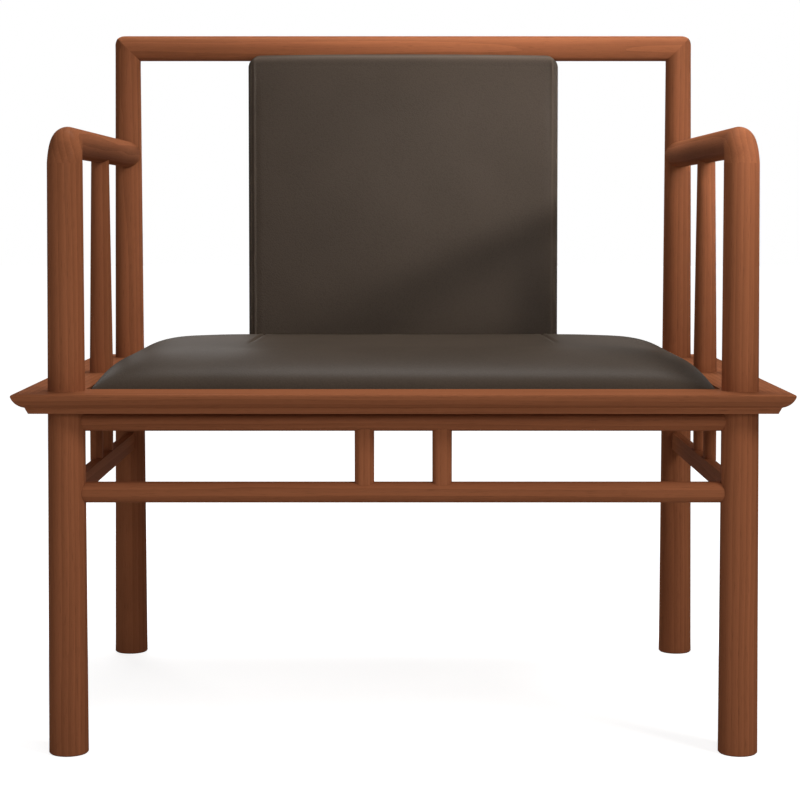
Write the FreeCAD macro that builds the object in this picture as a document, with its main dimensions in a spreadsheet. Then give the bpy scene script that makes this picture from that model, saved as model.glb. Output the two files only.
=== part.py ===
"""Lounge chair with round legs, a mitred seat frame and leather cushions.

Millimetres, +Z up, the front towards -Y, origin on the floor under the middle of the chair.
"""
import FreeCAD, Part
import math
import os

import Sketcher
from FreeCAD import Placement, Rotation, Vector

SIZES = {
    # Legs
    "leg_spacing_x": 750,
    "leg_spacing_y": 530,
    "leg_foot_diameter": 44,
    "front_leg_top_diameter": 39.4,
    "foot_chamfer": 1.5,
    "leg_neck_step": 2,
    # Seat frame with its moulded edge
    "seat_height": 407,
    "rail_width": 72,
    "rail_thickness": 22.5,
    "rail_overhang": 53,
    "edge_round": 2.5,
    "edge_ovolo_width": 13.3,
    "edge_ovolo_height": 13,
    "edge_ovolo_radius": 19,
    "edge_foot_slope": 3.3,
    # Seat panel and its battens
    "panel_thickness": 8,
    "panel_recess": 8,
    "panel_tongue": 8,
    "batten_width": 38,
    "batten_height": 15,
    "batten_spacing": 300,
    "batten_tenon_height": 5,
    # Rails and struts under the seat
    "apron_height": 22.5,
    "apron_back_thickness": 9,
    "stretcher_height": 22.5,
    "stretcher_back_thickness": 8,
    "strut_width": 21.8,
    "strut_thickness": 14.7,
    "strut_height": 57.75,
    "front_strut_spacing": 86.6,
    "side_strut_spacing": 86.6,
    # Arms and crest
    "arm_level": 683.5,
    "arm_diameter": 34.6,
    "elbow_radius": 24,
    "arm_post_foot_diameter": 28.8,
    "arm_post_top_diameter": 21.6,
    "crest_level": 827.7,
    "crest_diameter": 33.9,
    "crest_corner_radius": 15,
    # Joints
    "tenon_thickness": 8,
    "tenon_height": 12,
    "tenon_floor": 9,
    "mitre_tenon_width": 11,
    "mitre_tenon_wall": 2.5,
    "strut_tenon_width": 12,
    "strut_tenon_thickness": 6,
    "strut_tenon_depth": 10,
    "peg_diameter": 12,
    "peg_length": 12,
    "fit": 0.15,
    "overrun": 5,
    # Back
    "back_board_width": 400,
    "back_board_thickness": 16,
    "back_tongue_thickness": 8,
    "back_tongue_length": 8,
    "back_pad_width": 420,
    "back_pad_thickness": 18.5,
    "back_pad_crown": 5,
    "back_pad_lip": 10,
    "back_pad_lip_gap": 1.5,
    "back_rear_thickness": 8,
    "back_rear_crown": 2,
    # Seat cushion
    "cushion_side_gap": 3,
    "cushion_back_gap": 2.5,
    "cushion_edge_height": 6,
    "cushion_crown": 38,
    "cushion_side_roll": 90,
    "cushion_front_roll": 105,
    "cushion_back_roll": 120,
    "cushion_draw_in": 3,
    "leather_thickness": 1.4,
}


class Size:
    """A length with its number and its formula in the sheet."""

    def __init__(self, number, formula):
        self.number = number
        self.formula = formula

    def _join(self, sign, other, number):
        return Size(number, f"({self.formula} {sign} {formula_of(other)})")

    def __add__(self, other):
        return self._join("+", other, self.number + number_of(other))

    def __sub__(self, other):
        return self._join("-", other, self.number - number_of(other))

    def __mul__(self, other):
        return self._join("*", other, self.number * number_of(other))

    def __truediv__(self, other):
        return self._join("/", other, self.number / number_of(other))

    def __neg__(self):
        return Size(-self.number, f"(0 - {self.formula})")


def number_of(value):
    """Return the plain number of a size or a number."""
    return value.number if isinstance(value, Size) else value


def formula_of(value):
    """Return the formula of a size or a number."""
    return value.formula if isinstance(value, Size) else f"({value})"


doc = FreeCAD.newDocument("LoungeChair")
sheet = doc.addObject("Spreadsheet::Sheet", "Sizes")
for row, (name, length) in enumerate(SIZES.items(), start=1):
    sheet.set(f"A{row}", name)
    sheet.set(f"B{row}", str(length))
    sheet.setAlias(f"B{row}", name)
doc.recompute()


def size(name):
    """Return one named size of the sheet."""
    return Size(float(sheet.get(name)), f"Sizes.{name}")


ZERO = Size(0.0, "0")
OVER = size("overrun")
FIT = size("fit")
SIDES = {"left": -1, "right": 1}

# Places that several pieces share
leg_x = size("leg_spacing_x") / 2
leg_y = size("leg_spacing_y") / 2
frame_x = leg_x + size("rail_overhang")
frame_y = leg_y + size("rail_overhang")
seat_top = size("seat_height")
rail_under = seat_top - size("rail_thickness")
well_x = frame_x - size("rail_width")
well_y = frame_y - size("rail_width")
panel_top = seat_top - size("panel_recess")
panel_under = panel_top - size("panel_thickness")
apron_under = rail_under - size("apron_height")
apron_middle = rail_under - size("apron_height") / 2
stretcher_middle = apron_under - size("strut_height") - size("stretcher_height") / 2
arm_radius = size("arm_diameter") / 2
arm_middle = size("arm_level")
elbow_foot = arm_middle - size("elbow_radius")
crest_radius = size("crest_diameter") / 2
crest_middle = size("crest_level")
crest_top = crest_middle + crest_radius
crest_under = crest_middle - crest_radius
corner_x = leg_x + crest_radius


def front_leg_radius(level):
    """Radius of the tapered front leg at a height."""
    foot = size("leg_foot_diameter") / 2
    return foot + (size("front_leg_top_diameter") / 2 - foot) * level / elbow_foot


def back_leg_radius(level):
    """Radius at a height of the back leg, which tapers to the crest rail that it is mitred to."""
    foot = size("leg_foot_diameter") / 2
    return foot + (crest_radius - foot) * level / crest_top


neck_radius = back_leg_radius(seat_top) - size("leg_neck_step")


def bind(thing, **formulas):
    """Bind properties of a document object to sizes."""
    for prop, value in formulas.items():
        thing.setExpression(prop, formula_of(value))


def place(thing, x, y, z, turn=0):
    """Put an object at a point and turn it about the vertical."""
    thing.Placement = Placement(Vector(0, 0, 0), Rotation(Vector(0, 0, 1), turn))
    for axis, value in zip("xyz", (x, y, z)):
        thing.setExpression(f".Placement.Base.{axis}", formula_of(value))


def new_body(label):
    """Start a body that becomes one piece."""
    body = doc.addObject("PartDesign::Body", label)
    body.Label = label
    return body


def new_sketch(body, plane, name):
    """Start a sketch in one of the body's planes."""
    sketch = body.newObject("Sketcher::SketchObject", name)
    planes = {feature.Role: feature for feature in body.Origin.OriginFeatures}
    sketch.AttachmentSupport = [(planes[plane], "")]
    sketch.MapMode = "FlatFace"
    return sketch


def hold(sketch, rule, value):
    """Add a constraint that follows a size."""
    sketch.setExpression(f"Constraints[{sketch.addConstraint(rule)}]", formula_of(value))


def outline(body, plane, corners):
    """Draw a closed outline in one of the body's planes.

    A corner is (x, y), reached by a line, or (x, y, radius, turn), reached by an arc of under a half
    circle that goes anticlockwise for a turn of 1 and clockwise for -1.
    """
    sketch = new_sketch(body, plane, "Outline")
    ends = []
    for index, corner in enumerate(corners):
        start = Vector(number_of(corners[index - 1][0]), number_of(corners[index - 1][1]), 0)
        end = Vector(number_of(corner[0]), number_of(corner[1]), 0)
        if len(corner) == 2:
            sketch.addGeometry(Part.LineSegment(start, end), False)
            ends.append((1, 2))
            continue
        radius, turn = number_of(corner[2]), corner[3]
        chord = end - start
        height = math.sqrt(radius ** 2 - (chord.Length / 2) ** 2)
        across = Vector(-chord.y, chord.x, 0).normalize()
        centre = (start + end) / 2 + across * height * turn
        first = start if turn > 0 else end
        angle = math.atan2(first.y - centre.y, first.x - centre.x)
        sweep = 2 * math.asin(chord.Length / 2 / radius)
        circle = Part.Circle(centre, Vector(0, 0, 1), radius)
        sketch.addGeometry(Part.ArcOfCircle(circle, angle, angle + sweep), False)
        ends.append((1, 2) if turn > 0 else (2, 1))
    count = len(corners)
    for index in range(count):
        after = (index + 1) % count
        meeting = Sketcher.Constraint("Coincident", index, ends[index][1], after, ends[after][0])
        sketch.addConstraint(meeting)
    for index, corner in enumerate(corners):
        for kind, value in zip(("DistanceX", "DistanceY"), corner):
            rule = Sketcher.Constraint(kind, -1, 1, index, ends[index][1], number_of(value))
            hold(sketch, rule, value)
        if len(corner) > 2:
            hold(sketch, Sketcher.Constraint("Radius", index, number_of(corner[2])), corner[2])
    return sketch


def revolve(body, corners):
    """Turn an outline in the XZ plane about the body's vertical axis."""
    feature = body.newObject("PartDesign::Revolution", "Turning")
    feature.Profile = outline(body, "XZ_Plane", corners)
    feature.ReferenceAxis = (feature.Profile[0], ["V_Axis"])
    feature.Angle = 360


def extrude(body, plane, corners, length, cut=False):
    """Pad or pocket an outline to both sides of its plane."""
    sketch = outline(body, plane, corners)
    feature = body.newObject("PartDesign::Pocket" if cut else "PartDesign::Pad", "Run")
    feature.Profile = sketch
    feature.SideType = "Symmetric"
    bind(feature, Length=length)


def block(body, kind, across, along, up):
    """Add or cut a box between two limits on each axis."""
    feature = body.newObject(f"PartDesign::{kind}Box", "Block")
    for prop, limits in zip(("Length", "Width", "Height"), (across, along, up)):
        feature.setExpression(prop, formula_of(limits[1] - limits[0]))
    for axis, limits in zip("xyz", (across, along, up)):
        feature.setExpression(f".Placement.Base.{axis}", formula_of(limits[0]))


def rod(body, kind, radius, base, length, axis=Vector(0, 0, 1)):
    """Add or cut a cylinder that starts at a base point and runs along an axis."""
    feature = body.newObject(f"PartDesign::{kind}Cylinder", "Rod")
    feature.Placement = Placement(Vector(0, 0, 0), Rotation(Vector(0, 0, 1), axis))
    bind(feature, Radius=radius, Height=length)
    for name_of_axis, value in zip("xyz", base):
        feature.setExpression(f".Placement.Base.{name_of_axis}", formula_of(value))


def signed(sign, near, far):
    """Return two limits in rising order on the side that the sign names."""
    return (near, far) if sign > 0 else (-far, -near)


def about(middle, width):
    """Return the two limits of a width about a middle."""
    return (middle - width / 2, middle + width / 2)


def leg_mortise(body, axis, sign, middle, reach):
    """Cut the mortise of a rail's tenon into the side of a leg."""
    depth = signed(sign, size("tenon_floor"), reach + OVER)
    thick = about(ZERO, size("tenon_thickness") + FIT * 2)
    tall = about(middle, size("tenon_height") + FIT * 2)
    sides = (depth, thick) if axis == "x" else (thick, depth)
    block(body, "Subtractive", sides[0], sides[1], tall)


def leg_profile(radius_at):
    """Outline of a leg from its foot to the top of the neck that the seat frame closes on."""
    chamfer = size("foot_chamfer")
    return [
        (ZERO, ZERO),
        (radius_at(ZERO) - chamfer, ZERO),
        (radius_at(chamfer), chamfer),
        (radius_at(rail_under), rail_under),
        (neck_radius, rail_under),
        (neck_radius, seat_top),
        (radius_at(seat_top), seat_top),
    ]


# Front legs, with a peg that goes up into the bent end of the arm
peg_radius = size("peg_diameter") / 2
for side, sign in SIDES.items():
    leg = new_body(f"front_leg_{side}")
    peg_top = elbow_foot + size("peg_length")
    top = [
        (front_leg_radius(elbow_foot), elbow_foot),
        (peg_radius, elbow_foot),
        (peg_radius, peg_top),
        (ZERO, peg_top),
    ]
    revolve(leg, leg_profile(front_leg_radius) + top)
    for middle in (apron_middle, stretcher_middle):
        leg_mortise(leg, "x", -sign, middle, front_leg_radius(ZERO))
        leg_mortise(leg, "y", 1, middle, front_leg_radius(ZERO))
    place(leg, leg_x * sign, -leg_y, ZERO)


def round_corner(body, sign, centre_x, depth):
    """Round the outer point of the mitre between a back leg and the crest rail."""
    radius = size("crest_corner_radius")
    edge = centre_x + crest_radius * sign
    far = edge + OVER * sign
    high = crest_top + OVER
    corners = [
        (edge - radius * sign, crest_top),
        (edge, crest_top - radius, radius, -sign),
        (far, crest_top - radius),
        (far, high),
        (edge - radius * sign, high),
    ]
    extrude(body, "XZ_Plane", corners, depth, cut=True)


# Back legs, mitred to the crest rail, with a peg that goes up into it
mitre_reach = size("leg_foot_diameter")
for side, sign in SIDES.items():
    leg = new_body(f"back_leg_{side}")
    top = [(back_leg_radius(crest_top), crest_top), (ZERO, crest_top)]
    revolve(leg, leg_profile(back_leg_radius) + top)
    waste = [
        (-mitre_reach * sign, crest_middle - mitre_reach),
        (mitre_reach * sign, crest_middle + mitre_reach),
        (-mitre_reach * sign, crest_middle + mitre_reach),
    ]
    extrude(leg, "XZ_Plane", waste, mitre_reach + OVER, cut=True)
    round_corner(leg, sign, ZERO, mitre_reach + OVER)
    peg_foot = crest_under - size("peg_length")
    rod(leg, "Additive", peg_radius, (ZERO, ZERO, peg_foot), crest_middle - peg_foot)
    leg_mortise(leg, "x", -sign, apron_middle, mitre_reach)
    for middle in (apron_middle, stretcher_middle, arm_middle):
        leg_mortise(leg, "y", -1, middle, mitre_reach)
    place(leg, leg_x * sign, leg_y, ZERO)

# Crest rail, with sockets for the pegs of the back legs and a groove for the back board
crest = new_body("crest_rail")
rod(crest, "Additive", crest_radius, (-corner_x, leg_y, crest_middle), corner_x * 2, Vector(1, 0, 0))
crest_depth = (leg_y + mitre_reach) * 2
for sign in SIDES.values():
    waste = [
        ((leg_x - mitre_reach) * sign, crest_middle - mitre_reach),
        ((leg_x + mitre_reach) * sign, crest_middle - mitre_reach),
        ((leg_x + mitre_reach) * sign, crest_middle + mitre_reach),
    ]
    extrude(crest, "XZ_Plane", waste, crest_depth, cut=True)
    round_corner(crest, sign, leg_x * sign, crest_depth)
    socket = (leg_x * sign, leg_y, crest_under - OVER)
    rod(crest, "Subtractive", peg_radius + FIT, socket, crest_radius + OVER + FIT)
tongue_half = size("back_board_width") / 2
tongue_y = about(leg_y, size("back_tongue_thickness"))
tongue_top = crest_under + size("back_tongue_length")
tongue_foot = seat_top - size("back_tongue_length")
groove_x = (-tongue_half - FIT, tongue_half + FIT)
groove_y = about(leg_y, size("back_tongue_thickness") + FIT * 2)
block(crest, "Subtractive", groove_x, groove_y, (crest_under - OVER, tongue_top + FIT))


def rail_outline(out):
    """Section of a seat rail: rounded tip, ovolo, sloping foot, underside and groove for the panel."""
    tip = -out
    round_end = seat_top - size("edge_round")
    ovolo_end = round_end - size("edge_ovolo_height")
    foot = tip + size("edge_ovolo_width")
    inner = tip + size("rail_width")
    groove = inner - size("panel_tongue") - FIT
    return [
        (inner, seat_top),
        (tip + size("edge_round"), seat_top),
        (tip, round_end, size("edge_round"), 1),
        (foot, ovolo_end, size("edge_ovolo_radius"), 1),
        (foot + size("edge_foot_slope"), rail_under),
        (inner, rail_under),
        (inner, panel_under),
        (groove, panel_under),
        (groove, panel_top + FIT),
        (inner, panel_top + FIT),
    ]


def seat_rail(label, half, out, turn, legs_along, legs_out, tenon):
    """Build one mitred rail of the seat frame, lying along X with its edge towards -Y.

    The front and back rails carry a tenon at each mitre, the side rails its mortise.
    """
    rail = new_body(label)
    extrude(rail, "YZ_Plane", rail_outline(out), half * 2)
    inner = size("rail_width") + OVER
    tall = about(seat_top - size("rail_thickness") / 2, size("tenon_thickness"))
    far = size("rail_overhang") - neck_radius - size("mitre_tenon_wall")
    near = far - size("mitre_tenon_width")
    end = size("edge_ovolo_width") + size("mitre_tenon_wall")
    for sign in SIDES.values():
        waste = [
            ((half + OVER) * sign, -out - OVER),
            ((half + OVER) * sign, -out + inner),
            ((half - inner) * sign, -out + inner),
        ]
        extrude(rail, "XY_Plane", waste, (seat_top + OVER) * 2, cut=True)
        if tenon:
            across = signed(sign, half - far - far, half - end)
            block(rail, "Additive", across, (near - out, far - out), tall)
        else:
            across = signed(sign, half - far - FIT, half - near + FIT)
            along = (end - out - FIT, size("rail_overhang") - out)
            block(rail, "Subtractive", across, along, (tall[0] - FIT, tall[1] + FIT))
        hole = (legs_along * sign, -legs_out, rail_under - OVER)
        rod(rail, "Subtractive", neck_radius + FIT, hole, size("rail_thickness") + OVER * 2)
    place(rail, ZERO, ZERO, ZERO, turn)
    return rail


front_rail = seat_rail("seat_rail_front", frame_x, frame_y, 0, leg_x, leg_y, True)
back_rail = seat_rail("seat_rail_back", frame_x, frame_y, 180, leg_x, leg_y, True)
right_rail = seat_rail("seat_rail_right", frame_y, frame_x, 90, leg_y, leg_x, False)
left_rail = seat_rail("seat_rail_left", frame_y, frame_x, -90, leg_y, leg_x, False)

# Groove in the back rail for the back board, and sockets in the side rails for the arm posts
block(
    back_rail,
    "Subtractive",
    groove_x,
    about(-leg_y, size("back_tongue_thickness") + FIT * 2),
    (tongue_foot - FIT, seat_top + OVER),
)
for rail in (left_rail, right_rail):
    socket_foot = seat_top - size("peg_length") - FIT
    rod(rail, "Subtractive", peg_radius + FIT, (ZERO, -leg_x, socket_foot), size("peg_length") + OVER)

# Seat panel, notched round the legs, and the battens that are tenoned into the front and back rails
panel = new_body("seat_panel")
tongue = size("panel_tongue")
panel_x = (-well_x - tongue, well_x + tongue)
panel_y = (-well_y - tongue, well_y + tongue)
block(panel, "Additive", panel_x, panel_y, (panel_under, panel_top))
for sign_x in SIDES.values():
    for sign_y in SIDES.values():
        notch = (leg_x * sign_x, leg_y * sign_y, panel_under - OVER)
        rod(panel, "Subtractive", neck_radius + FIT, notch, size("panel_thickness") + OVER * 2)

for side, sign in SIDES.items():
    batten = new_body(f"seat_batten_{side}")
    batten_x = about(size("batten_spacing") * sign / 2, size("batten_width"))
    batten_z = (panel_under - size("batten_height"), panel_under)
    block(batten, "Additive", batten_x, (-well_y, well_y), batten_z)
    tenon_z = (panel_under - size("batten_tenon_height"), panel_under)
    block(batten, "Additive", batten_x, panel_y, tenon_z)
    for rail in (front_rail, back_rail):
        mortise_y = (-well_y - tongue - FIT, -well_y + OVER)
        mortise_x = (batten_x[0] - FIT, batten_x[1] + FIT)
        block(rail, "Subtractive", mortise_x, mortise_y, (tenon_z[0] - FIT, tenon_z[1] + FIT))


def half_round(out, middle, height, back, grow=ZERO):
    """Section of an apron or stretcher: half round outside, flat inside."""
    radius = height / 2 + grow
    return [
        (-out + back + grow, middle + radius),
        (-out, middle + radius),
        (-out - radius, middle, radius, 1),
        (-out, middle - radius, radius, 1),
        (-out + back + grow, middle - radius),
    ]


apron_section = (apron_middle, size("apron_height"), size("apron_back_thickness"))
stretcher_section = (stretcher_middle, size("stretcher_height"), size("stretcher_back_thickness"))


def cross_rail(label, half, out, turn, section, leg_radii, strut_spacing, strut_level):
    """Build an apron or stretcher between two legs, scribed round them and tenoned into them.

    The legs' radii are given for the -X end and the +X end. A strut level names the face that the
    struts are tenoned into: -1 for the underside, 1 for the top.
    """
    rail = new_body(label)
    middle, height, back = section
    extrude(rail, "YZ_Plane", half_round(out, middle, height, back), half * 2)
    for sign, radius_at in zip(SIDES.values(), leg_radii):
        radius = radius_at(middle - height / 2) + FIT
        rod(rail, "Subtractive", radius, (half * sign, -out, middle - height), height * 2)
    reach = half - size("tenon_floor") - FIT
    tenon_y = about(-out, size("tenon_thickness"))
    block(rail, "Additive", (-reach, reach), tenon_y, about(middle, size("tenon_height")))
    if strut_level:
        face = middle + height * strut_level / 2
        depth = size("strut_tenon_depth") + FIT
        tall = (face - OVER, face + depth) if strut_level < 0 else (face - depth, face + OVER)
        for sign in SIDES.values():
            mortise_x = about(strut_spacing * sign / 2, size("strut_tenon_width") + FIT * 2)
            mortise_y = about(-out, size("strut_tenon_thickness") + FIT * 2)
            block(rail, "Subtractive", mortise_x, mortise_y, tall)
    place(rail, ZERO, ZERO, ZERO, turn)


front_pair = (front_leg_radius, front_leg_radius)
back_pair = (back_leg_radius, back_leg_radius)
right_pair = (front_leg_radius, back_leg_radius)
left_pair = (back_leg_radius, front_leg_radius)
front_spacing = size("front_strut_spacing")
side_spacing = size("side_strut_spacing")
cross_rail("apron_front", leg_x, leg_y, 0, apron_section, front_pair, front_spacing, -1)
cross_rail("apron_back", leg_x, leg_y, 180, apron_section, back_pair, front_spacing, 0)
cross_rail("apron_right", leg_y, leg_x, 90, apron_section, right_pair, side_spacing, -1)
cross_rail("apron_left", leg_y, leg_x, -90, apron_section, left_pair, side_spacing, -1)
cross_rail("stretcher_front", leg_x, leg_y, 0, stretcher_section, front_pair, front_spacing, 1)
cross_rail("stretcher_right", leg_y, leg_x, 90, stretcher_section, right_pair, side_spacing, 1)
cross_rail("stretcher_left", leg_y, leg_x, -90, stretcher_section, left_pair, side_spacing, 1)


def strut(label, x, out, turn):
    """Build an oval strut, coped over the stretcher and under the apron and tenoned into both."""
    post = new_body(label)
    radius = size("strut_thickness") / 2
    flat = size("strut_width") / 2 - radius
    oval = [
        (x + flat, -out - radius),
        (x + flat + radius, -out, radius, 1),
        (x + flat, -out + radius, radius, 1),
        (x - flat, -out + radius),
        (x - flat - radius, -out, radius, 1),
        (x - flat, -out - radius, radius, 1),
    ]
    sketch = outline(post, "XY_Plane", oval)
    sketch.setExpression(".AttachmentOffset.Base.z", stretcher_middle.formula)
    run = post.newObject("PartDesign::Pad", "Run")
    run.Profile = sketch
    bind(run, Length=apron_middle - stretcher_middle)
    wide = (size("leg_spacing_x") + size("strut_width")) * 2
    extrude(post, "YZ_Plane", half_round(out, *stretcher_section, FIT), wide, cut=True)
    extrude(post, "YZ_Plane", half_round(out, *apron_section, FIT), wide, cut=True)
    depth = size("strut_tenon_depth")
    tenon_z = (stretcher_middle + size("stretcher_height") / 2 - depth, apron_under + depth)
    tenon_x = about(x, size("strut_tenon_width"))
    block(post, "Additive", tenon_x, about(-out, size("strut_tenon_thickness")), tenon_z)
    place(post, ZERO, ZERO, ZERO, turn)


for side, sign in SIDES.items():
    strut(f"strut_front_{side}", front_spacing * sign / 2, leg_y, 0)
    strut(f"strut_{side}_front", side_spacing * -sign / 2, leg_x, 90 * sign)
    strut(f"strut_{side}_back", side_spacing * sign / 2, leg_x, 90 * sign)


def ring(body, plane, radius, offset, x, y):
    """Draw a circle at a distance from one of the body's planes."""
    sketch = new_sketch(body, plane, "Ring")
    sketch.setExpression(".AttachmentOffset.Base.z", formula_of(offset))
    middle = Vector(number_of(x), number_of(y), 0)
    sketch.addGeometry(Part.Circle(middle, Vector(0, 0, 1), number_of(radius)), False)
    rules = (
        (Sketcher.Constraint("DistanceX", -1, 1, 0, 3, number_of(x)), x),
        (Sketcher.Constraint("DistanceY", -1, 1, 0, 3, number_of(y)), y),
        (Sketcher.Constraint("Radius", 0, number_of(radius)), radius),
    )
    for rule, value in rules:
        hold(sketch, rule, value)
    return sketch


# Arms: a bent front end that swells to the leg it caps, and a straight run to the back leg
for side, sign in SIDES.items():
    arm = new_body(f"arm_rail_{side}")
    bend_y = leg_y - size("elbow_radius")
    spine = new_sketch(arm, "YZ_Plane", "Bend")
    middle = Vector(-bend_y.number, elbow_foot.number, 0)
    circle = Part.Circle(middle, Vector(0, 0, 1), size("elbow_radius").number)
    spine.addGeometry(Part.ArcOfCircle(circle, math.pi / 2, math.pi), False)
    bend_ends = ((1, -bend_y, arm_middle), (2, -leg_y, elbow_foot))
    for end, y, z in bend_ends:
        for kind, value in (("DistanceX", y), ("DistanceY", z)):
            hold(spine, Sketcher.Constraint(kind, -1, 1, 0, end, value.number), value)
    hold(spine, Sketcher.Constraint("Radius", 0, size("elbow_radius").number), size("elbow_radius"))
    elbow = arm.newObject("PartDesign::AdditivePipe", "Elbow")
    elbow.Profile = ring(arm, "XZ_Plane", arm_radius, bend_y, ZERO, arm_middle)
    elbow.Spine = spine
    leg_end = ring(arm, "XY_Plane", size("front_leg_top_diameter") / 2, elbow_foot, ZERO, -leg_y)
    elbow.Sections = [leg_end]
    elbow.Transformation = "Multisection"
    rod(arm, "Additive", arm_radius, (ZERO, -bend_y, arm_middle), bend_y + leg_y, Vector(0, 1, 0))
    scribe = back_leg_radius(arm_middle - arm_radius) + FIT
    leg_base = (ZERO, leg_y, arm_middle - arm_radius - OVER)
    rod(arm, "Subtractive", scribe, leg_base, (arm_radius + OVER) * 2)
    tenon_y = (leg_y - scribe - size("peg_length"), leg_y - size("tenon_floor") - FIT)
    tenon_x = about(ZERO, size("tenon_thickness"))
    block(arm, "Additive", tenon_x, tenon_y, about(arm_middle, size("tenon_height")))
    socket_depth = size("peg_length") + OVER + FIT
    leg_socket = (ZERO, -leg_y, elbow_foot - OVER)
    rod(arm, "Subtractive", peg_radius + FIT, leg_socket, socket_depth)
    post_socket = (ZERO, ZERO, arm_middle - arm_radius - OVER)
    rod(arm, "Subtractive", peg_radius + FIT, post_socket, socket_depth)
    place(arm, leg_x * sign, ZERO, ZERO)

# Arm posts: tapered, pegged into the seat rail and coped under the arm
for side, sign in SIDES.items():
    post = new_body(f"arm_post_{side}")
    peg_foot = seat_top - size("peg_length")
    corners = [
        (ZERO, peg_foot),
        (peg_radius, peg_foot),
        (peg_radius, seat_top),
        (size("arm_post_foot_diameter") / 2, seat_top),
        (size("arm_post_top_diameter") / 2, arm_middle),
        (ZERO, arm_middle),
    ]
    revolve(post, corners)
    reach = size("arm_post_foot_diameter")
    rod(post, "Subtractive", arm_radius + FIT, (ZERO, -reach, arm_middle), reach * 2, Vector(0, 1, 0))
    arm_under = arm_middle - arm_radius
    peg_base = (ZERO, ZERO, arm_under - size("peg_length"))
    rod(post, "Additive", peg_radius, peg_base, size("peg_length") * 2)
    place(post, leg_x * sign, ZERO, ZERO)

# Back board, coped under the crest rail and tongued into it and into the back seat rail
board = new_body("back_board")
board_y = about(leg_y, size("back_board_thickness"))
block(board, "Additive", (-tongue_half, tongue_half), board_y, (seat_top, crest_middle))
rod(
    board,
    "Subtractive",
    crest_radius + FIT,
    (-tongue_half - OVER, leg_y, crest_middle),
    (tongue_half + OVER) * 2,
    Vector(1, 0, 0),
)
block(board, "Additive", (-tongue_half, tongue_half), tongue_y, (tongue_foot, tongue_top))

# Steps of the quarter ellipse in which a cushion's edge rolls over to its top
ROLL_STEPS = 5
ROLL_ANGLES = [math.pi / 2 * step / ROLL_STEPS for step in range(ROLL_STEPS + 1)]
# Part of the crown that is left at a cushion's ends, and places on its flat top, as shares of its half
END_CROWN_SHARE = 0.06
FLAT_SHARES = (0, 1 / 3, 2 / 3)
# Stations across the back's pads, closer together at their ends, and how squarely the crown falls there
STATION_COUNT = 6
STATION_SHARES = [
    math.sin(math.pi / 2 * step / STATION_COUNT)
    for step in range(-STATION_COUNT, STATION_COUNT + 1)
]
CROWN_POWER = 10
PAD_END_SHARE = 0.2


def number(name):
    """Return the plain number of a named size."""
    return size(name).number


def roll_over(x, edge_y, edge_z, width, height):
    """Return the curve from a cushion's edge up to its top; a negative width rolls towards -Y."""
    points = []
    for angle in ROLL_ANGLES:
        y = edge_y + width * (1 - math.cos(angle))
        points.append(Vector(x, y, edge_z + height * math.sin(angle)))
    curve = Part.BSplineCurve()
    curve.interpolate(
        Points=points,
        Parameters=ROLL_ANGLES,
        InitialTangent=Vector(0, 0, height),
        FinalTangent=Vector(0, width, 0),
    )
    return curve


def seat_cushion(inset):
    """Seat cushion with a low wall and a crowned top that rolls down to it, drawn in by an inset."""
    half = well_x.number - number("cushion_side_gap") - inset
    front = -well_y.number + number("cushion_side_gap") + inset
    pad_front = board_y[0].number - number("back_pad_thickness")
    back = pad_front - number("cushion_back_gap") - inset
    foot = panel_top.number + inset
    edge = foot + number("cushion_edge_height") - inset * 2
    side_roll = number("cushion_side_roll")
    stations = {}
    for angle in ROLL_ANGLES:
        rise = END_CROWN_SHARE + (1 - END_CROWN_SHARE) * math.sin(angle)
        stations[half - side_roll * (1 - math.cos(angle))] = number("cushion_crown") * rise
    for share in FLAT_SHARES:
        stations[(half - side_roll) * share] = number("cushion_crown")
    stations.update({-x: height for x, height in stations.items()})
    wires = []
    for x, height in sorted(stations.items()):
        draw = number("cushion_draw_in") * (1 - (x / half) ** 2)
        near = front + draw
        far = back - draw
        front_roll = roll_over(x, near, edge, number("cushion_front_roll"), height)
        back_roll = roll_over(x, far, edge, -number("cushion_back_roll"), height)
        back_roll.reverse()
        corners = [
            Vector(x, far, edge),
            Vector(x, far, foot),
            Vector(x, near, foot),
            Vector(x, near, edge),
        ]
        sides = [Part.LineSegment(start, end) for start, end in zip(corners, corners[1:])]
        top = Part.LineSegment(front_roll.EndPoint, back_roll.StartPoint)
        wires.append(Part.Wire([line.toShape() for line in (*sides, front_roll, top, back_roll)]))
    return Part.makeLoft(wires, True, False)


def edge_between(start, end, through=None):
    """Return a line, or an arc through a third point."""
    if through is None:
        return Part.LineSegment(start, end).toShape()
    return Part.Arc(start, through, end).toShape()


def skin(half_width, section):
    """Skin the sections of a pad across X; a section is four corners and four points between."""
    wires = []
    for share in STATION_SHARES:
        corners, between = section(share)
        x = half_width * share
        points = [Vector(x, y, z) for y, z in corners]
        through = [None if point is None else Vector(x, *point) for point in between]
        edges = [edge_between(points[i - 1], points[i], through[i]) for i in range(len(points))]
        wires.append(Part.Wire(edges))
    return Part.makeLoft(wires, True, False)


def pad_crown_share(share):
    """Part of a pad's crown that is left at a station: all in the middle, a little at the ends."""
    return 1 - (1 - PAD_END_SHARE) * share ** 2


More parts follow.
